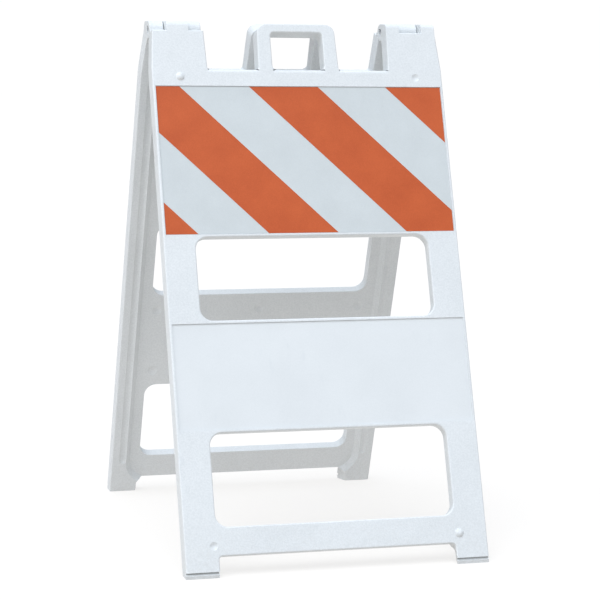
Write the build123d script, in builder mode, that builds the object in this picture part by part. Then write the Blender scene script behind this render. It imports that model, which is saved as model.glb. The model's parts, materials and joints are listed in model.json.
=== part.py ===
from build123d import *
from math import asin, cos, degrees, radians, sin, sqrt, tan
import os

# Folding A-frame barricade: two identical hollow plastic leaves, pinned together at the top.
# Each leaf is first made flat. In a flat leaf X runs across it, Y runs up it from the hinge axis,
# and Z is the height out of it, with the hinge axis at height 0 and the road side facing +Z.

# Overall sizes
panel_width = 609.6
leg_length = 1111.0
opening_angle = 40.0
panel_depth = 35.0
fold_gap = 10.0
wall = 2.5
edge_radius = 3.0
inner_edge_radius = 2.0

# Sheeting, its recesses and its stripes
sheet_width = 596.9
sheet_height = 304.8
blank_height = 208.0
sheet_margin = 1.0
recess_depth = 2.2
film_thickness = 0.5
overlay_thickness = 0.3
stripe_width = 101.6
stripe_start = 47.8
sheet_drop = 131.5

# Rails, windows and feet, measured down the leaf
window_width = 481.0
window_height = 167.8
rail_land = 5.5
window_lip = 6.0
lower_window_height = 181.0
window_radius = 25.0
window_draft = 2.0
foot_rail_height = 56.0
foot_width = 66.8
foot_corner = 7.0
foot_lean = 16.0
toe_height = 11.5
toe_step = 6.0
toe_groove = 7.0
lip_height = 6.0

# Top edge, ears and carrying handle
shoulder_drop = 95.0
shoulder_radius = 8.0
ear_width = 114.8
ear_outer_taper = 6.3
ear_inner_taper = 3.0
ear_top_drop = 14.0
ear_corner = 9.0
handle_width = 169.0
handle_taper = 3.0
handle_rise = 2.0
handle_bar = 18.5
handle_limb = 30.0
handle_corner = 20.0
finger_corner = 8.0

# Hinge
barrel_radius = 17.5
pin_radius = 4.76
running_clearance = 0.08
relief_clearance = 1.0
tongue_width = 45.0
tongue_side_clearance = 1.5
knuckle_root = 45.0
knuckle_round = 12.0
knuckle_edge = 1.2
neck_drop = 20.0
neck_length = 10.0
stop_clearance = 0.3
stop_reach = 10.0
stop_height = 7.0
head_radius = 7.5
head_thickness = 3.0
retainer_thickness = 2.0
counterbore_clearance = 1.0
counterbore_depth = 4.5
pin_end_recess = 1.0
pin_chamfer = 0.8

# Inner face: rounded ribs down the legs, each with a groove, a set-back web and kiss-off dents
rib_width = 31.5
rim_radius = 15.0
groove_radius = 16.0
groove_depth = 2.5
groove_side = 24.5
web_setback = 11.0
web_slope = 46.0
web_top_drop = 128.0
web_corner = 60.0
dent_radius = 11.0
dent_depth = 2.5
dent_edge = 36.0
dent_side = 77.0

# Stacking bumps and dimples
stud_radius = 9.0
stud_height = 4.5
dimple_radius = 8.0
dimple_depth = 2.6
stud_drop = 112.0
stud_rise = 20.0
stud_side = 57.4

# Places worked out from the sizes above
half_opening = radians(opening_angle / 2)
half_width = panel_width / 2
inner_face = fold_gap / 2
outer_face = inner_face + panel_depth
recess_floor = outer_face - recess_depth
upper_recess_height = sheet_height + 2 * sheet_margin
blank_recess_height = blank_height + 2 * sheet_margin
recess_width = sheet_width + 2 * sheet_margin
upper_window_top = sheet_drop + upper_recess_height + rail_land
upper_window_bottom = upper_window_top + window_height
blank_top = upper_window_bottom + window_lip
lower_window_top = blank_top + blank_recess_height + window_lip
lower_window_bottom = lower_window_top + lower_window_height
foot_rail_bottom = lower_window_bottom + foot_rail_height
toe_top = leg_length - toe_height
sole_height_out = outer_face - toe_step
hinge_height = leg_length * cos(half_opening) - sole_height_out * sin(half_opening)
foot_inner = half_width - foot_width
ear_inner = half_width - ear_width
knuckle_inner = ear_inner + ear_inner_taper
knuckle_outer = half_width - ear_outer_taper
ear_centre = (knuckle_inner + knuckle_outer) / 2
slot_width = tongue_width + 2 * tongue_side_clearance
relief_radius = barrel_radius + relief_clearance
finger_width = handle_width - 2 * handle_limb
head_seat = knuckle_inner + counterbore_depth
retainer_seat = knuckle_outer - counterbore_depth
pin_end = knuckle_outer - pin_end_recess
web_floor = inner_face + web_setback
window_growth = panel_depth * tan(radians(window_draft))
foot_growth = panel_depth * tan(radians(foot_lean))
rib_inner = half_width - rib_width
rim_inset = rim_radius - (rim_radius - wall) * sqrt(0.5)

front_leaf = Plane(
    origin=(0, 0, hinge_height), x_dir=(1, 0, 0),
    z_dir=(0, -cos(half_opening), sin(half_opening)),
)
rear_leaf = Plane(
    origin=(0, 0, hinge_height), x_dir=(-1, 0, 0),
    z_dir=(0, cos(half_opening), sin(half_opening)),
)


def side_plane(across):
    """Plane across a flat leaf: its X is the height out of the leaf and its Y runs up the leaf."""
    return Plane(origin=(across, 0, 0), x_dir=(0, 0, 1), z_dir=(-1, 0, 0))


def from_other_leaf(height, up):
    """A point given in the other leaf's side view, as height and up in this leaf's, when open."""
    along = up * sin(half_opening) - height * cos(half_opening)
    lift = up * cos(half_opening) + height * sin(half_opening)
    return (
        along * cos(half_opening) + lift * sin(half_opening),
        lift * cos(half_opening) - along * sin(half_opening),
    )


def make_outline():
    """Front view of the leaf: body, legs, ears and handle."""
    handle_half = handle_width / 2
    with BuildSketch() as outline:
        with BuildLine():
            right_side = [
                (handle_half - handle_taper, handle_rise),
                (handle_half, -shoulder_drop),
                (ear_inner, -shoulder_drop),
                (ear_inner + ear_inner_taper, -ear_top_drop),
                (half_width - ear_outer_taper, -ear_top_drop),
                (half_width, -shoulder_drop),
                (half_width, -leg_length - toe_step),
            ]
            left_side = [(-across, up) for across, up in reversed(right_side)]
            Polyline(*right_side, *left_side, close=True)
        make_face()
        corners = outline.vertices()
        fillet(corners.filter_by(lambda v: abs(v.Y - handle_rise) < 0.1), handle_corner)
        fillet(corners.filter_by(lambda v: abs(v.Y + ear_top_drop) < 0.1), ear_corner)
        inner_corners = outline.vertices().filter_by(
            lambda v: abs(v.Y + shoulder_drop) < 0.1 and abs(v.X) < half_width - 1
        )
        fillet(inner_corners, edge_radius + 1)
        with Locations((0, (handle_rise - handle_bar - shoulder_drop) / 2)):
            finger_height = shoulder_drop + handle_rise - handle_bar
            RectangleRounded(finger_width, finger_height, finger_corner, mode=Mode.SUBTRACT)
    return outline.sketch


def make_knuckle_profile(with_stop):
    """Side view of a knuckle: barrel, flat top, blend into the leaf and, on side knuckles, a stop."""
    top_contact = (barrel_radius * sin(half_opening), barrel_radius * cos(half_opening))
    fall = (outer_face - top_contact[0]) * tan(half_opening)
    with BuildSketch() as profile:
        with BuildLine():
            Polyline(
                (inner_face, -knuckle_root),
                (outer_face, -knuckle_root),
                (outer_face, top_contact[1] - fall),
                top_contact,
                (0, 0),
                (0, -neck_drop),
                (inner_face, -neck_drop - neck_length),
                close=True,
            )
        make_face()
        top_corner = profile.vertices().sort_by(Axis.X)[-2:].sort_by(Axis.Y)[-1]
        fillet(top_corner, knuckle_round)
        Circle(barrel_radius)
        if with_stop:
            seat = -ear_top_drop + stop_clearance
            seat_start = sqrt(relief_radius ** 2 - ear_top_drop ** 2)
            with BuildLine():
                Polyline(
                    from_other_leaf(0, 0),
                    from_other_leaf(seat_start, seat),
                    from_other_leaf(seat_start + stop_reach, seat),
                    from_other_leaf(seat_start + stop_reach, seat + stop_height),
                    close=True,
                )
            make_face()
    return profile.sketch


def cut_window(top, height):
    """One window through the leaf, wider at the inner face by the moulding draft."""
    with BuildSketch(Plane.XY.offset(outer_face)) as profile:
        with Locations((0, -top - height / 2)):
            RectangleRounded(window_width, height, window_radius)
    extrude(profile.sketch, amount=-panel_depth, taper=-window_draft, mode=Mode.SUBTRACT)


def cut_foot_gap(top, draft):
    """The gap between the feet, wider at the inner face by a draft."""
    gap_height = leg_length + 2 * panel_depth - top
    with BuildSketch(Plane.XY.offset(outer_face)) as profile:
        with Locations((0, -top - gap_height / 2)):
            RectangleRounded(2 * foot_inner, gap_height, foot_corner)
    extrude(profile.sketch, amount=-panel_depth, taper=-draft, mode=Mode.SUBTRACT)


def cut_rims():
    """Full rounding along the inner edge of each leg, below the ears."""
    rim_length = leg_length + toe_step - knuckle_root
    for side in (-1, 1):
        with BuildSketch(Plane(origin=(0, -knuckle_root, 0), x_dir=(1, 0, 0), z_dir=(0, -1, 0))) as profile:
            with Locations((side * (half_width - rim_radius / 2), -inner_face - rim_radius / 2)):
                Rectangle(rim_radius, rim_radius)
            with Locations((side * (half_width - rim_radius), -inner_face - rim_radius)):
                Circle(rim_radius, mode=Mode.SUBTRACT)
        extrude(profile.sketch, amount=rim_length, mode=Mode.SUBTRACT)


def cut_grooves():
    """A round groove down each leg's rib, with ball ends."""
    groove_height = inner_face + groove_depth - groove_radius
    groove_end = lower_window_bottom + rail_land
    for side in (-1, 1):
        across = side * (half_width - groove_side)
        with BuildSketch(Plane(origin=(across, -web_top_drop, groove_height), z_dir=(0, -1, 0))) as profile:
            Circle(groove_radius)
        extrude(profile.sketch, amount=groove_end - web_top_drop, mode=Mode.SUBTRACT)
        ends = [(across, -drop, groove_height) for drop in (web_top_drop, groove_end)]
        with Locations(*ends):
            Sphere(groove_radius, mode=Mode.SUBTRACT)


def cut_recess(top, height):
    """One shallow sheeting recess in the outer face."""
    with BuildSketch(Plane.XY.offset(outer_face)) as profile:
        with Locations((0, -top - height / 2)):
            Rectangle(recess_width, height)
    extrude(profile.sketch, amount=-recess_depth, mode=Mode.SUBTRACT)


def cut_shoulder_rounding():
    """Rounded top edge between the ears and the handle, and under the finger hole."""
    rounding = Plane(origin=(0, -shoulder_drop, outer_face), x_dir=(0, 0, 1), z_dir=(1, 0, 0))
    gap_half = (ear_inner - handle_width / 2) / 2
    gap_centre = handle_width / 2 + gap_half
    spans = [(-gap_centre, gap_half), (0, finger_width / 2), (gap_centre, gap_half)]
    for centre, half_span in spans:
        with BuildSketch(rounding.offset(centre)) as profile:
            with Locations((-shoulder_radius / 2, shoulder_radius / 2)):
                Rectangle(shoulder_radius, shoulder_radius)
            with Locations((-shoulder_radius, shoulder_radius)):
                Circle(shoulder_radius, mode=Mode.SUBTRACT)
        extrude(profile.sketch, amount=half_span, both=True, mode=Mode.SUBTRACT)


def cut_toes():
    """A groove over the toe's lip, and a sole that is level when the barricade is open."""
    with BuildSketch(side_plane(half_width)) as profile:
        with BuildLine():
            Polyline(
                (outer_face + edge_radius, -toe_top),
                (outer_face - toe_groove, -toe_top),
                (outer_face - toe_step / 2, -leg_length + lip_height),
                (sole_height_out, -leg_length),
                (sole_height_out, -leg_length - 2 * toe_step),
                (outer_face + edge_radius, -leg_length - 2 * toe_step),
                close=True,
            )
        make_face()
    extrude(profile.sketch, amount=panel_width, mode=Mode.SUBTRACT)
    reach = 2 * outer_face
    rise = (sole_height_out + outer_face) * tan(half_opening)
    fall = (reach - sole_height_out) * tan(half_opening)
    with BuildSketch(side_plane(half_width)) as profile:
        with BuildLine():
            Polyline(
                (-outer_face, -leg_length + rise),
                (reach, -leg_length - fall),
                (reach, -leg_length - reach),
                (-outer_face, -leg_length - reach),
                close=True,
            )
        make_face()
    extrude(profile.sketch, amount=panel_width, mode=Mode.SUBTRACT)


def cut_web():
    """The inner face between the leg ribs is set back, with sloping sides."""
    with BuildSketch(Plane.XY.offset(inner_face)) as profile:
        with Locations((0, -(web_top_drop + foot_rail_bottom) / 2)):
            web_height = foot_rail_bottom - web_top_drop + 4 * foot_corner
            RectangleRounded(2 * rib_inner, web_height, web_corner)
    extrude(profile.sketch, amount=web_setback, taper=web_slope, mode=Mode.SUBTRACT)


def ball_radius(cap_radius, cap_height):
    """The radius of the ball whose cap has this radius at its foot and this height."""
    return (cap_radius ** 2 + cap_height ** 2) / (2 * cap_height)


def cut_dents(rail_top, rail_height, rows):
    """Rows of shallow round kiss-off dents on the inner face of one rail."""
    spacing = (rail_height - 2 * dent_edge) / (rows - 1)
    columns = (-(half_width - dent_side), 0, half_width - dent_side)
    ball = ball_radius(dent_radius, dent_depth)
    for row in range(rows):
        drop = rail_top + dent_edge + row * spacing
        with Locations(*[(across, -drop, web_floor + dent_depth - ball) for across in columns]):
            Sphere(ball, mode=Mode.SUBTRACT)


def cut_hollow(across, top, bottom, width, inner_height, outer_height):
    """One closed hollow between the two skins of the moulding."""
    with BuildSketch(Plane.XY.offset(inner_height)) as profile:
        with Locations((across, -(top + bottom) / 2)):
            RectangleRounded(width, bottom - top, wall)
    extrude(profile.sketch, amount=outer_height - inner_height, mode=Mode.SUBTRACT)


def cut_hollows():
    """Hollows in the legs, the rails, the ears, the top edge and the handle."""
    skin_top = recess_floor - wall
    skin_under_web = web_floor + dent_depth + wall
    skin_under_rib = inner_face + wall
    skin_under_groove = skin_under_rib + groove_depth
    leg_outer = half_width - wall
    leg_inner = window_width / 2 + window_growth + wall
    rib_hollow = rib_width - rim_inset - 2 * wall
    foot_hollow = foot_width - foot_growth - 2 * wall
    leg_end = foot_rail_bottom - rim_radius
    toe_end = toe_top - toe_groove
    top_end = web_top_drop - wall
    for side in (-1, 1):
        cut_hollow(side * (half_width - rim_inset - rib_hollow / 2), web_top_drop, toe_end, rib_hollow,
                   skin_under_groove, skin_top)
        cut_hollow(side * (leg_outer + leg_inner) / 2, web_top_drop, leg_end,
                   leg_outer - leg_inner, skin_under_web, skin_top)
        cut_hollow(side * (leg_outer - foot_hollow / 2), leg_end - 2 * wall, toe_end,
                   foot_hollow, skin_under_web, skin_top - toe_groove)
        cut_hollow(side * (half_width + ear_inner) / 2, knuckle_root + wall, top_end,
                   ear_width - 2 * (wall + ear_outer_taper), skin_under_rib, skin_top)
        cut_hollow(side * (handle_width - handle_limb) / 2, handle_bar + wall, top_end,
                   handle_limb - 2 * (wall + handle_taper), skin_under_rib, skin_top)
        cut_hollow(side * (ear_inner + handle_width / 2) / 2, shoulder_drop + shoulder_radius, top_end,
                   ear_inner - handle_width / 2 - 2 * wall, skin_under_rib, skin_top - wall)
    rail_margin = window_growth + wall
    rails = [
        (web_top_drop - rail_margin, upper_window_top),
        (upper_window_bottom, lower_window_top),
        (lower_window_bottom, foot_rail_bottom),
    ]
    for rail_top, rail_bottom in rails:
        cut_hollow(0, rail_top + rail_margin, rail_bottom - rail_margin, 2 * leg_inner + rib_hollow,
                   skin_under_web, skin_top)


def add_studs():
    """Domed stacking bumps and dimples near the corners of the outer face."""
    across = half_width - stud_side
    low = foot_rail_bottom - stud_rise
    ball = ball_radius(stud_radius, stud_height)
    with Locations((-across, -stud_drop, outer_face), (across, -low, outer_face)):
        Sphere(ball, arc_size1=degrees(asin(1 - stud_height / ball)),
               align=(Align.CENTER, Align.CENTER, Align.MIN))
    ball = ball_radius(dimple_radius, dimple_depth)
    dimple_height = outer_face - dimple_depth + ball
    with Locations((across, -stud_drop, dimple_height), (-across, -low, dimple_height)):
        Sphere(ball, mode=Mode.SUBTRACT)


def make_knuckle(start, width, with_stop):
    """One knuckle with softened edges, from start towards -X, to be joined to a flat leaf."""
    with BuildPart() as knuckle:
        with BuildSketch(side_plane(start)):
            add(make_knuckle_profile(with_stop))
        extrude(amount=width)
        fillet(knuckle.edges().filter_by(lambda e: e.center().Y > -knuckle_root + 1
                                         and abs(e.tangent_at(0).X) < 0.5), knuckle_edge)
    return knuckle.part


def cut_knuckle_relief():
    """Round clearance in both ears for the other leaf's knuckles."""
    for side in (-1, 1):
        with BuildSketch(side_plane(side * half_width)) as profile:
            Circle(relief_radius)
        extrude(profile.sketch, amount=side * ear_width * 1.2, mode=Mode.SUBTRACT)


def cut_hinge_bores():
    """A running bore through the tongue, and press bores with counterbores at the other ear."""
    with BuildSketch(side_plane(-knuckle_inner)) as profile:
        Circle(pin_radius + running_clearance)
    extrude(profile.sketch, amount=ear_width, mode=Mode.SUBTRACT)
    with BuildSketch(side_plane(knuckle_outer)) as profile:
        Circle(pin_radius)
    extrude(profile.sketch, amount=ear_width, mode=Mode.SUBTRACT)
    for start in (head_seat, knuckle_outer):
        with BuildSketch(side_plane(start)) as profile:
            Circle(head_radius + counterbore_clearance)
        extrude(profile.sketch, amount=counterbore_depth, mode=Mode.SUBTRACT)


def make_panel():
    """One hollow moulded leaf, flat."""
    outline = make_outline()
    side_width = (knuckle_outer - knuckle_inner - slot_width) / 2
    knuckles = [
        make_knuckle(-ear_centre + tongue_width / 2, tongue_width, False),
        make_knuckle(knuckle_inner + side_width, side_width, True),
        make_knuckle(knuckle_outer, side_width, True),
    ]
    with BuildPart() as panel:
        with BuildSketch(Plane.XY.offset(inner_face)):
            add(outline)
        extrude(amount=panel_depth)
        fillet(panel.faces().sort_by(Axis.Z)[0].edges(), inner_edge_radius)
        cut_window(upper_window_top, window_height)
        cut_window(lower_window_top, lower_window_height)
        cut_foot_gap(foot_rail_bottom, window_draft)
        fillet(panel.faces().sort_by(Axis.Z)[-1].edges(), edge_radius)
        cut_shoulder_rounding()
        cut_foot_gap(foot_rail_bottom + foot_growth, foot_lean)
        cut_toes()
        cut_rims()
        cut_grooves()
        cut_web()
        cut_recess(sheet_drop, upper_recess_height)
        cut_recess(blank_top, blank_recess_height)
        cut_dents(web_top_drop, upper_window_top - web_top_drop, 3)
        cut_dents(upper_window_bottom, lower_window_top - upper_window_bottom, 2)
        add_studs()
        cut_hollows()
        cut_knuckle_relief()
        for knuckle in knuckles:
            add(knuckle)
        cut_hinge_bores()
    return panel.part


def make_sheeting():
    """White reflective film in the upper recess, flat."""
    with BuildPart() as sheeting:
        with BuildSketch(Plane.XY.offset(recess_floor)):
            with Locations((0, -sheet_drop - upper_recess_height / 2)):
                Rectangle(sheet_width, sheet_height)
        extrude(amount=film_thickness)
    return sheeting.part


def make_stripes():
    """Orange film strips on the white film, sloping down to the right at 45 degrees, flat."""
    pitch = stripe_width * sqrt(2)
    left = -sheet_width / 2
    top = -sheet_drop - sheet_margin
    first = -2 * (int(sheet_height / (2 * pitch)) + 1)
    last = int(sheet_width / pitch) + 1
    with BuildPart() as stripes:
        with BuildSketch(Plane.XY.offset(recess_floor + film_thickness)):
            for band in range(first + 1, last + 1, 2):
                start = left + stripe_start + band * pitch
                with BuildLine():
                    Polyline(
                        (start, top),
                        (start + pitch, top),
                        (start + pitch + sheet_height, top - sheet_height),
                        (start + sheet_height, top - sheet_height),
                        close=True,
                    )
                make_face()
            with Locations((0, top - sheet_height / 2)):
                Rectangle(sheet_width, sheet_height, mode=Mode.INTERSECT)
        extrude(amount=overlay_thickness)
    return stripes.part


def make_pin():
    """Steel hinge pin with a head, in the right ear of a flat leaf."""
    with BuildPart() as pin:
        with BuildSketch(Plane.YZ.offset(head_seat)):
            Circle(pin_radius)
        extrude(amount=pin_end - head_seat)
        chamfer(pin.edges().sort_by(Axis.X)[-1], pin_chamfer)
        with BuildSketch(Plane.YZ.offset(head_seat)):
            Circle(head_radius)
        extrude(amount=-head_thickness)
        fillet(pin.edges().sort_by(Axis.X)[0], head_thickness / 3)
    return pin.part


def make_retainer():
    """Push-on steel cap that holds the pin's plain end, in the right ear of a flat leaf."""
    with BuildPart() as retainer:
        with BuildSketch(Plane.YZ.offset(retainer_seat)):
            Circle(head_radius)
            Circle(pin_radius, mode=Mode.SUBTRACT)
        extrude(amount=retainer_thickness)
    return retainer.part


def place_piece(piece, leaf, name):
    """Stand one flat piece in its leaf, name it and write it out."""
    with BuildPart() as placed:
        add(piece.moved(leaf.location))
    placed.part.label = name
    export_step(placed.part, f"parts/{name}.step")
    return placed.part


os.makedirs("parts", exist_ok=True)

leaf_pieces = {
    "panel": make_panel(),
    "sheeting": make_sheeting(),
    "orange_stripes": make_stripes(),
}
for leaf_name, leaf_plane in (("front", front_leaf), ("rear", rear_leaf)):
    for piece_name, piece in leaf_pieces.items():
        place_piece(piece, leaf_plane, f"{leaf_name}_{piece_name}")

# The rear leaf's side knuckles, and so its pin, are at the left as seen from the front
hinge_pieces = {"hinge_pin": make_pin(), "pin_retainer": make_retainer()}
for side_name, leaf_plane in (("right", front_leaf), ("left", rear_leaf)):
    for piece_name, piece in hinge_pieces.items():
        place_piece(piece, leaf_plane, f"{side_name}_{piece_name}")
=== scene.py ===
# %% [markdown]
# # A folding A-frame barricade
# The barricade is two hollow polyethylene leaves pinned together at the top, with striped reflective
# sheeting on the outside of each. The shapes that carry load come from the frame: the two leaves,
# their sheeting and the hinge. This lesson gives them their finishes, models the small steel details
# by hand, and sets up the light and the camera.

# %% Load the frame
import bpy
import json
from math import cos, degrees, radians, sin
from mathutils import Matrix, Vector


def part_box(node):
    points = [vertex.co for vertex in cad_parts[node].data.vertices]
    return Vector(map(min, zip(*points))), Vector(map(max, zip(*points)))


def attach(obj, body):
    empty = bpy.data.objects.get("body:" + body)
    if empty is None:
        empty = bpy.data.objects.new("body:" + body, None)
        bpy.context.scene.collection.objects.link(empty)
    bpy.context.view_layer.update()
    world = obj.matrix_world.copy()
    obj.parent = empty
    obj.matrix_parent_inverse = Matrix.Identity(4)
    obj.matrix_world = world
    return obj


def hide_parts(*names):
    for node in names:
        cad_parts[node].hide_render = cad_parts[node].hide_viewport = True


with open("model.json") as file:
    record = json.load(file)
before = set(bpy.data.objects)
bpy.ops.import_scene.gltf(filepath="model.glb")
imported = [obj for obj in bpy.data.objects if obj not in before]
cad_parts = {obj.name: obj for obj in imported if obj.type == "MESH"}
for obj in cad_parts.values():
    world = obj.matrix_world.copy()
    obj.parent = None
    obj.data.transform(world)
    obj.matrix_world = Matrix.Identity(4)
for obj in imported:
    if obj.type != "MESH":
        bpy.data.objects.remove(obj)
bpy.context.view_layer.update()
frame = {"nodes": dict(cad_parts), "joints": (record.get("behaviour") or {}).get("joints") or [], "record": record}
print("pieces in the frame:", len(frame["nodes"]))

# %% [markdown]
# ## The hinge
# Each leaf leans from the hinge axis by half of the opening angle. Both numbers come from the frame's
# own joint, so nothing here has to be fitted.

# %% Read the hinge from the frame
fold = frame["joints"][0]
hinge = Vector(fold["pos_m"])
lean = radians(-fold["range_deg"][0] / 2)
print(f"hinge axis {hinge.z * 1000:.1f} mm up, each leaf leaning {degrees(lean):.1f} degrees")

# %% [markdown]
# ## The camera
# The camera comes first, because every later choice is judged through it. It stands a little to the
# left, about four metres off and as high as the handle, looking slightly down, and it is held a touch
# crooked. A long lens keeps the leaf's sides nearly parallel.

# %% Set up the camera
camera_data = bpy.data.cameras.new("product_camera")
camera = bpy.data.objects.new("product_camera", camera_data)
bpy.context.collection.objects.link(camera)
camera_data.sensor_width = 36.0
camera_data.lens = 125.67
camera_place = Vector((-1.1471, -4.1882, 1.0249))
look_right, look_down, crooked = radians(15.669), radians(7.203), radians(0.707)
camera.matrix_world = (
    Matrix.Translation(camera_place)
    @ Matrix.Rotation(-look_right, 4, "Z")
    @ Matrix.Rotation(radians(90) - look_down, 4, "X")
    @ Matrix.Rotation(crooked, 4, "Z")
)
bpy.context.scene.camera = camera
print(f"camera {camera_place.length:.2f} m from the middle of the floor, lens {camera_data.lens:.0f} mm")

# %% [markdown]
# ## Small helpers for finishes
# All the finishes are made of nodes. Each one starts from Object coordinates, which stay put on the
# piece when a leaf swings, so grain and scuffs never slide. Small helpers keep the recipes short: they
# start a finish, add a node with its settings, and build up noises, sums, blends and bumps from it.

# %% Finish helpers
def start_finish(name):
    """A new material, with its shader and an Object coordinate source."""
    finish = bpy.data.materials.new(name)
    finish.use_nodes = True
    nodes = finish.node_tree.nodes
    shader = nodes["Principled BSDF"]
    places = nodes.new("ShaderNodeTexCoord")
    return finish, shader, places.outputs["Object"]


def add_node(finish, kind, inputs=(), **settings):
    """Adds a node, sets its properties, and links or sets its inputs given as (name, value)."""
    node = finish.node_tree.nodes.new(kind)
    for key, value in settings.items():
        setattr(node, key, value)
    for socket, value in inputs:
        if isinstance(value, bpy.types.NodeSocket):
            finish.node_tree.links.new(value, node.inputs[socket])
        else:
            node.inputs[socket].default_value = value
    return node


def add_noise(finish, places, scale, detail=2.0, roughness=0.5):
    """A noise of a given number of waves to the metre."""
    inputs = [("Vector", places), ("Scale", scale), ("Detail", detail), ("Roughness", roughness)]
    return add_node(finish, "ShaderNodeTexNoise", inputs).outputs["Fac"]


def remap(finish, value, low, high, to_low, to_high):
    """Stretches part of a noise's range over a new range."""
    inputs = [("Value", value), ("From Min", low), ("From Max", high)]
    inputs += [("To Min", to_low), ("To Max", to_high)]
    return add_node(finish, "ShaderNodeMapRange", inputs).outputs["Result"]


def add_sum(finish, operation, *values):
    """One step of arithmetic on numbers or sockets."""
    return add_node(finish, "ShaderNodeMath", list(enumerate(values)), operation=operation).outputs[0]


def blend_colours(finish, amount, first, second):
    """Mixes two colours, or two colour sockets, by an amount."""
    factor_place, first_place, second_place, result_place = 0, 6, 7, 2
    inputs = [(factor_place, amount), (first_place, first), (second_place, second)]
    return add_node(finish, "ShaderNodeMix", inputs, data_type="RGBA").outputs[result_place]


def add_bump(finish, height, depth, strength=1.0, under=None):
    """A bump of a given depth in metres, over an earlier bump if there is one."""
    inputs = [("Height", height), ("Distance", depth), ("Strength", strength)]
    if under is not None:
        inputs.append(("Normal", under))
    return add_node(finish, "ShaderNodeBump", inputs).outputs["Normal"]


def use(finish, shader, **sockets):
    """Links or sets the shader's own sockets, named with _ for a space."""
    for key, value in sockets.items():
        socket = shader.inputs[key.replace("_", " ")]
        if isinstance(value, bpy.types.NodeSocket):
            finish.node_tree.links.new(value, socket)
        else:
            socket.default_value = value


print("helpers ready")

# %% [markdown]
# ## White moulded polyethylene
# The leaves are blown from white polyethylene. The mould is sand-blasted, so the skin has a fine,
# even grain, and the hot plastic shrinks unevenly, which leaves faint, broad waves. The flat seats for
# film are kept smoother, so that film sticks. The white is a little blue, with cloudy patches where the
# skin is thinner. Handling leaves soft grey rubs in patches, and the feet gather road dust. Grain and
# waves are bumps at two scales, and the rest is colour.

# %% White plastic finish
# The film seats lie this far out of the plane through the hinge that the leaf leans in
film_seat = 0.0378
seat_band = 0.0006
seat_texture = 0.25
grain_depth = 0.00055
grain_strength = 0.60


def find_textured_skin(finish, places):
    """One on the textured skin, less on the film seats, told by how far they lie from the hinge's plane."""
    place = add_node(finish, "ShaderNodeSeparateXYZ", [("Vector", places)]).outputs
    away = add_sum(finish, "ABSOLUTE", place["Y"])
    drop = add_sum(finish, "SUBTRACT", hinge.z, place["Z"])
    inward = add_sum(finish, "MULTIPLY", drop, -sin(lean))
    out = add_sum(finish, "MULTIPLY_ADD", away, cos(lean), inward)
    seat = add_sum(finish, "COMPARE", out, film_seat, seat_band)
    return remap(finish, seat, 0.0, 1.0, 1.0, seat_texture)


def make_white_plastic():
    finish, shader, places = start_finish("white_polyethylene")
    textured = find_textured_skin(finish, places)
    clouds = remap(finish, add_noise(finish, places, 9.0, 3.0), 0.35, 0.68, 0.30, 0.55)
    pebbles = remap(finish, add_noise(finish, places, 300.0, 3.0, 0.6), 0.36, 0.64, -0.3, 0.3)
    amount = add_sum(finish, "MULTIPLY_ADD", pebbles, textured, clouds)
    colour = blend_colours(finish, amount, (0.660, 0.680, 0.686, 1), (0.764, 0.782, 0.788, 1))

    # Soft rubs: long streaks, kept to the places where two noises agree
    stretched = add_node(finish, "ShaderNodeMapping", [("Vector", places), ("Scale", (1.0, 0.35, 0.35))])
    streaks = remap(finish, add_noise(finish, stretched.outputs["Vector"], 70.0, 4.0), 0.60, 0.74, 0.0, 1.0)
    patches = remap(finish, add_noise(finish, places, 5.0, 1.0), 0.50, 0.70, 0.0, 0.32)
    rubs = add_sum(finish, "MULTIPLY", streaks, patches)
    colour = blend_colours(finish, rubs, colour, (0.60, 0.63, 0.65, 1))

    # A little road dust, strongest at the feet
    height = add_node(finish, "ShaderNodeSeparateXYZ", [("Vector", places)]).outputs["Z"]
    low_down = remap(finish, height, 0.0, 0.11, 0.30, 0.0)
    specks = remap(finish, add_noise(finish, places, 130.0, 5.0, 0.7), 0.45, 0.75, 0.0, 1.0)
    dust = add_sum(finish, "MULTIPLY", low_down, specks)
    colour = blend_colours(finish, dust, colour, (0.50, 0.48, 0.44, 1))

    # Waves from shrinking, then the mould's grain on top
    waves = add_bump(finish, add_noise(finish, places, 26.0, 1.0), 0.0016, 0.35)
    strength = add_sum(finish, "MULTIPLY", textured, grain_strength)
    grain = add_bump(finish, add_noise(finish, places, 380.0, 4.0, 0.65), grain_depth, strength, waves)
    rough = remap(finish, add_noise(finish, places, 45.0, 3.0), 0.3, 0.7, 0.40, 0.52)
    use(finish, shader, Base_Color=colour, Roughness=rough, Normal=grain, IOR=1.51,
        Specular_IOR_Level=0.45)
    print("made", finish.name)
    return finish


white_plastic = make_white_plastic()

# %% [markdown]
# ## Reflective sheeting
# Road sheeting is a film with tiny glass beads under a clear skin. By day the beads make it a shade
# greyer than the plastic around it, with a fine sparkle, and the clear skin gives a broad, soft
# shine. The orange strips are the same film with an orange clear layer, so both finishes come from
# one recipe with a different pair of colours. Beads are cells of a Voronoi texture, each with its
# own lightness and a tiny dome, and broad clouds keep a large flat sheet from looking printed.

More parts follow.
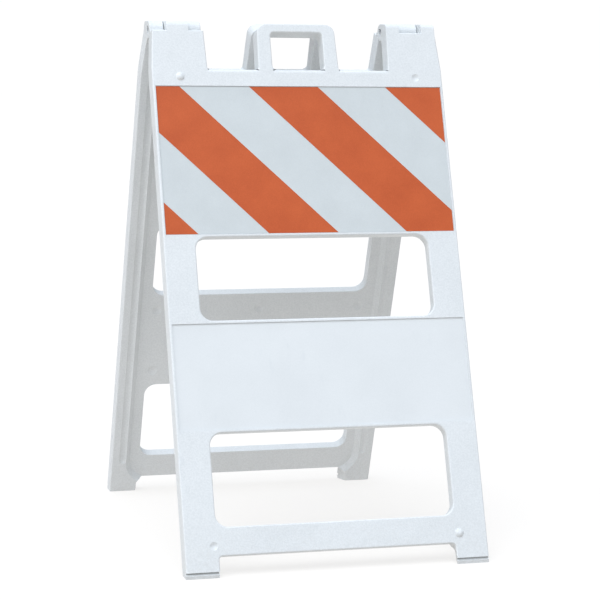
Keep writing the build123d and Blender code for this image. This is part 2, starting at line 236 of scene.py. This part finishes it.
# %% Sheeting finishes
def make_sheeting_finish(name, deep, light):
    finish, shader, places = start_finish(name)
    beads = add_node(finish, "ShaderNodeTexVoronoi", [("Vector", places), ("Scale", 620.0)])
    sparkle = remap(finish, beads.outputs["Color"], 0.0, 1.0, 0.0, 0.55)
    clouds = remap(finish, add_noise(finish, places, 16.0, 4.0, 0.6), 0.32, 0.70, 0.0, 0.55)
    amount = add_sum(finish, "ADD", sparkle, clouds)
    colour = blend_colours(finish, amount, deep, light)
    domes = add_bump(finish, beads.outputs["Distance"], 0.0002, 0.25)
    ripple = add_bump(finish, add_noise(finish, places, 55.0, 2.0), 0.0006, 0.25, domes)
    rough = remap(finish, add_noise(finish, places, 220.0, 2.0), 0.3, 0.7, 0.38, 0.50)
    use(finish, shader, Base_Color=colour, Roughness=rough, Normal=ripple, Coat_Weight=0.15,
        Coat_Roughness=0.30, Specular_IOR_Level=0.35)
    print("made", finish.name)
    return finish


white_pair = (0.547, 0.578, 0.583, 1), (0.604, 0.637, 0.642, 1)
orange_pair = (0.468, 0.074, 0.0115, 1), (0.570, 0.104, 0.021, 1)
white_sheeting = make_sheeting_finish("white_reflective_film", *white_pair)
orange_sheeting = make_sheeting_finish("orange_reflective_film", *orange_pair)

# %% [markdown]
# ## Zinc-plated steel
# The hinge pins and their push-on rings are bright zinc on steel. Zinc has a faint blue-grey bloom
# and fine drawing marks along the wire. It is a metal, so its colour comes from the reflection, and
# the marks are a noise squeezed along the pin.

# %% Zinc finish
def make_zinc():
    finish, shader, places = start_finish("zinc_plated_steel")
    bloom = remap(finish, add_noise(finish, places, 240.0, 4.0), 0.35, 0.7, 0.0, 1.0)
    colour = blend_colours(finish, bloom, (0.60, 0.61, 0.63, 1), (0.46, 0.49, 0.54, 1))
    drawn = add_node(finish, "ShaderNodeMapping", [("Vector", places), ("Scale", (0.08, 1.0, 1.0))])
    marks = add_noise(finish, drawn.outputs["Vector"], 3800.0, 3.0)
    rough = remap(finish, bloom, 0.0, 1.0, 0.26, 0.44)
    use(finish, shader, Base_Color=colour, Metallic=1.0, Roughness=rough,
        Normal=add_bump(finish, marks, 0.00006, 0.5))
    print("made", finish.name)
    return finish


zinc = make_zinc()

# %% Dress the leaves and their sheeting
finishes = {"white_plastic": white_plastic, "white_sheeting": white_sheeting,
            "orange_sheeting": orange_sheeting, "zinc_steel": zinc}
slot_of = {row["node"]: row["material_slot"] for row in frame["record"]["subparts"]}
for node_name, node in frame["nodes"].items():
    node.data.materials.clear()
    node.data.materials.append(finishes[slot_of[node_name]])
print("dressed", len(slot_of), "pieces")

# %% [markdown]
# ## Hinge pins
# Each ear turns on a headed steel pin, cold-formed from wire: a straight shank, a low domed head that
# sits in a counterbore, and a small chamfer on the plain end. It could be spun from a profile, but a
# cylinder whose end face is pulled out and shrunk ring by ring shows the forming steps and keeps
# every ring round. The pin's box in the frame says where it lies and how long it is, and the head
# is at the end nearer to the middle of the barricade.

# %% Helpers for modelling by hand
def select_faces(piece, chosen):
    """In edit mode, selects the faces for which chosen is true, and nothing else."""
    bpy.ops.object.mode_set(mode="OBJECT")
    for group in (piece.data.vertices, piece.data.edges):
        for part in group:
            part.select = False
    for face in piece.data.polygons:
        face.select = chosen(face)
    bpy.ops.object.mode_set(mode="EDIT")
    bpy.ops.mesh.select_mode(type="FACE")


def pull_ring(along, scale, centre):
    """Pulls the selected face out along X and shrinks or widens it about the pin's axis."""
    bpy.ops.mesh.extrude_region_move(TRANSFORM_OT_translate={"value": (along, 0, 0)})
    bpy.ops.transform.resize(value=(1, scale, scale), center_override=centre)


def finish_piece(piece, body, finish, smooth=35):
    """Places the shape in the mesh, shades it, dresses it and lets it ride on its body."""
    bpy.ops.object.mode_set(mode="OBJECT")
    bpy.ops.object.transform_apply(location=True, rotation=True, scale=True)
    bpy.ops.object.shade_smooth_by_angle(angle=radians(smooth))
    piece.data.materials.append(finish)
    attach(piece, body)


print("modelling helpers ready")

# %% Model the hinge pins
shank_radius = 0.00476
head_height = 0.003
plain_chamfer = 0.0008
head_side_share = 0.4
dome_turn = 78
dome_steps = 4
hinge_sides = {"left": ("rear_leaf", 1), "right": ("front_leaf", -1)}


def model_pin(side):
    body, head_way = hinge_sides[side]
    low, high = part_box(f"{side}_hinge_pin")
    head_radius = (high[2] - low[2]) / 2
    middle = [(low[axis] + high[axis]) / 2 for axis in range(3)]
    head_end = high[0] if head_way > 0 else low[0]
    shank_end = head_end - head_way * head_height
    plain_end = low[0] if head_way > 0 else high[0]
    bpy.ops.object.select_all(action="DESELECT")
    bpy.ops.mesh.primitive_cylinder_add(
        vertices=64, radius=shank_radius, depth=abs(shank_end - plain_end),
        location=((shank_end + plain_end) / 2, middle[1], middle[2]), rotation=(0, radians(90), 0),
    )
    pin = bpy.context.active_object
    pin.name = f"{side}_domed_pin"
    bpy.ops.object.transform_apply(location=True, rotation=True, scale=True)

    # The head: out to its full radius, up its short side, then over the dome in four rings
    select_faces(pin, lambda face: face.normal.x * head_way > 0.9)
    pull_ring(0, head_radius / shank_radius, (shank_end, middle[1], middle[2]))
    side_height = head_height * head_side_share
    pull_ring(head_way * side_height, 1, (shank_end, middle[1], middle[2]))
    dome_height = head_height - side_height
    for step in range(1, dome_steps + 1):
        start, end = radians(dome_turn * (step - 1) / dome_steps), radians(dome_turn * step / dome_steps)
        rise = dome_height * (sin(end) - sin(start)) / sin(radians(dome_turn))
        pull_ring(head_way * rise, cos(end) / cos(start), (shank_end, middle[1], middle[2]))

    # The plain end: a chamfer
    select_faces(pin, lambda face: face.normal.x * head_way < -0.9 and len(face.vertices) > 4
                 and abs(face.center.x - plain_end) < plain_chamfer)
    bpy.ops.transform.translate(value=(head_way * plain_chamfer, 0, 0))
    pull_ring(-head_way * plain_chamfer, 1 - plain_chamfer / shank_radius, (plain_end, middle[1], middle[2]))
    finish_piece(pin, body, zinc)
    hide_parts(f"{side}_hinge_pin")
    print(f"{pin.name}: {abs(plain_end - head_end) * 1000:.1f} mm long, {len(pin.data.polygons)} faces")


for side in hinge_sides:
    model_pin(side)

# %% [markdown]
# ## Push-on retainers
# A pressed spring-steel cap is pushed over the plain end of each pin and bites it with its teeth. The
# cap is thin sheet, so it is modelled as sheet: a flat ring is drawn in from its rim to the shank,
# the inner band is tipped outwards into a cone, narrow slits part the band into teeth, and Solidify
# gives the sheet its thickness. Cutting the slits before the thickness keeps their walls closed.

# %% Model the push-on retainers
sheet_steel = 0.0005
teeth = 6
faces_per_tooth = 8
slit_share = 0.74


def model_retainer(side):
    body, head_way = hinge_sides[side]
    low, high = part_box(f"{side}_pin_retainer")
    rim_radius = (high[2] - low[2]) / 2
    height = high[0] - low[0]
    seat = high[0] if head_way > 0 else low[0]
    centre = (seat, (low[1] + high[1]) / 2, (low[2] + high[2]) / 2)
    bpy.ops.object.select_all(action="DESELECT")
    bpy.ops.mesh.primitive_circle_add(
        vertices=teeth * faces_per_tooth, radius=rim_radius, fill_type="NOTHING",
        location=centre, rotation=(0, radians(90), 0),
    )
    cap = bpy.context.active_object
    cap.name = f"{side}_push_on_retainer"
    bpy.ops.object.transform_apply(location=True, rotation=True, scale=True)
    bpy.ops.object.mode_set(mode="EDIT")
    bpy.ops.mesh.select_all(action="SELECT")

    # From the rim: a flat ring comes in, then a cone of teeth
    rings = [(0, 0.94), (0, 0.80), (height * 0.30, 0.72), (height * 0.72, shank_radius / rim_radius)]
    reached, radius_share = 0, 1
    for out, share in rings:
        step = -head_way * (out - reached)
        bpy.ops.mesh.extrude_edges_move(TRANSFORM_OT_translate={"value": (step, 0, 0)})
        narrowing = share / radius_share
        bpy.ops.transform.resize(value=(1, narrowing, narrowing), center_override=centre)
        reached, radius_share = out, share

    # One face in eight of the inner band is taken out, which leaves six teeth
    bpy.ops.object.mode_set(mode="OBJECT")
    band = rim_radius * slit_share
    slit_faces = set()
    for face in cap.data.polygons:
        across = face.center - Vector(centre)
        turn = degrees(Vector((across.y, across.z)).angle_signed(Vector((1, 0)))) % (360 / teeth)
        if across.length < band and turn < 360 / (teeth * faces_per_tooth):
            slit_faces.add(face.index)
    select_faces(cap, lambda face: face.index in slit_faces)
    bpy.ops.mesh.delete(type="FACE")
    bpy.ops.mesh.select_all(action="SELECT")
    bpy.ops.mesh.normals_make_consistent(inside=False)
    bpy.ops.object.mode_set(mode="OBJECT")
    wall = cap.modifiers.new("sheet", "SOLIDIFY")
    wall.thickness = sheet_steel
    wall.offset = 0
    bpy.ops.object.modifier_apply(modifier="sheet")
    # Slide the cap out by half its sheet, so that it rests on its seat
    bpy.ops.object.mode_set(mode="EDIT")
    bpy.ops.mesh.select_all(action="SELECT")
    bpy.ops.transform.translate(value=(-head_way * sheet_steel / 2, 0, 0))
    finish_piece(cap, body, zinc)
    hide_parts(f"{side}_pin_retainer")
    print(f"{cap.name}: {teeth} teeth, {len(slit_faces)} slits, {len(cap.data.polygons)} faces")


for side in hinge_sides:
    model_retainer(side)

# %% [markdown]
# ## The floor and the light
# The floor is a lit studio table: it glows a little, so the shadow on it is faint and its far edge
# melts into the white sweep behind. The light is that of a bright, hazy day: a broad, soft sun high in
# front and a little to the left, and a sky that is brighter overhead than at the horizon, both a little
# blue. So edges that face up are the brightest and the outer face comes next. Two broad lamps on the
# left lift the side walls, and the inner faces get mostly what even, slightly warm ground sends back.
# That ground belongs to the sky, so the floor takes no part in lighting the barricade. The sky is drawn
# whiter than the light it gives, and the colours are shown without a film look, so white stays white.

# %% Lay the floor
bpy.ops.object.select_all(action="DESELECT")
bpy.ops.mesh.primitive_plane_add(size=60.0, location=(0, 0, 0))
floor = bpy.context.active_object
floor.name = "studio_floor"
floor_finish, floor_shader, _ = start_finish("pale_floor")
use(floor_finish, floor_shader, Base_Color=(0.28, 0.262, 0.243, 1), Roughness=1.0, Specular_IOR_Level=0.0,
    Emission_Color=(1.0, 1.0, 1.0, 1), Emission_Strength=0.68)
floor.data.materials.append(floor_finish)
floor.visible_diffuse = False
floor.visible_shadow = False
print("floor laid")

# %% Set up the sky and the lamps
daylight = (0.93, 1.0, 1.09)
warm_ground = (1.0, 0.985, 0.965)


def make_sky(ground, horizon, overhead, drawn):
    """A sky that grows brighter overhead above even ground, and is drawn plain white."""
    sky = bpy.data.worlds.new("white_sky")
    sky.use_nodes = True
    way = add_node(sky, "ShaderNodeTexCoord").outputs["Generated"]
    height = add_node(sky, "ShaderNodeSeparateXYZ", [("Vector", way)]).outputs["Z"]
    haze = sky.node_tree.nodes["Background"]
    use(sky, haze, Color=(*daylight, 1), Strength=remap(sky, height, 0.0, 1.0, horizon, overhead))
    soil = add_node(sky, "ShaderNodeBackground", [("Color", (*warm_ground, 1)), ("Strength", ground)])
    paper = add_node(sky, "ShaderNodeBackground", [("Color", (1, 1, 1, 1)), ("Strength", drawn)])
    below = add_sum(sky, "LESS_THAN", height, 0.0)
    around = add_node(sky, "ShaderNodeMixShader", [(0, below), (1, haze.outputs[0]), (2, soil.outputs[0])])
    seen = add_node(sky, "ShaderNodeLightPath").outputs["Is Camera Ray"]
    choice = add_node(sky, "ShaderNodeMixShader", [(0, seen), (1, around.outputs[0]), (2, paper.outputs[0])])
    use(sky, sky.node_tree.nodes["World Output"], Surface=choice.outputs[0])
    return sky


def aim_lamp(name, kind, place, power, aim=(0, 0, 0.55)):
    """A lamp of any kind that faces the barricade."""
    data = bpy.data.lights.new(name, kind)
    data.energy = power
    lamp = bpy.data.objects.new(name, data)
    bpy.context.collection.objects.link(lamp)
    lamp.location = place
    lamp.rotation_euler = (Vector(aim) - Vector(place)).to_track_quat("-Z", "Y").to_euler()
    return data


bpy.context.scene.world = make_sky(ground=0.78, horizon=0.02, overhead=1.38, drawn=1.02)
sun = aim_lamp("soft_sun", "SUN", (-1.5, -2.4, 5.2), 1.66)
sun.angle = radians(50)
sun.color = daylight
sheen = aim_lamp("sheen_lamp", "AREA", (-3.4, -1.3, 2.6), 18, aim=(0, 0, 0.95))
sheen.size = 1.8
fill = aim_lamp("side_fill", "AREA", (-2.7, -0.5, 0.6), 6, aim=(0, 0.1, 0.5))
fill.size = 0.8
bpy.context.scene.view_settings.view_transform = "Standard"
print("sky and lamps set")
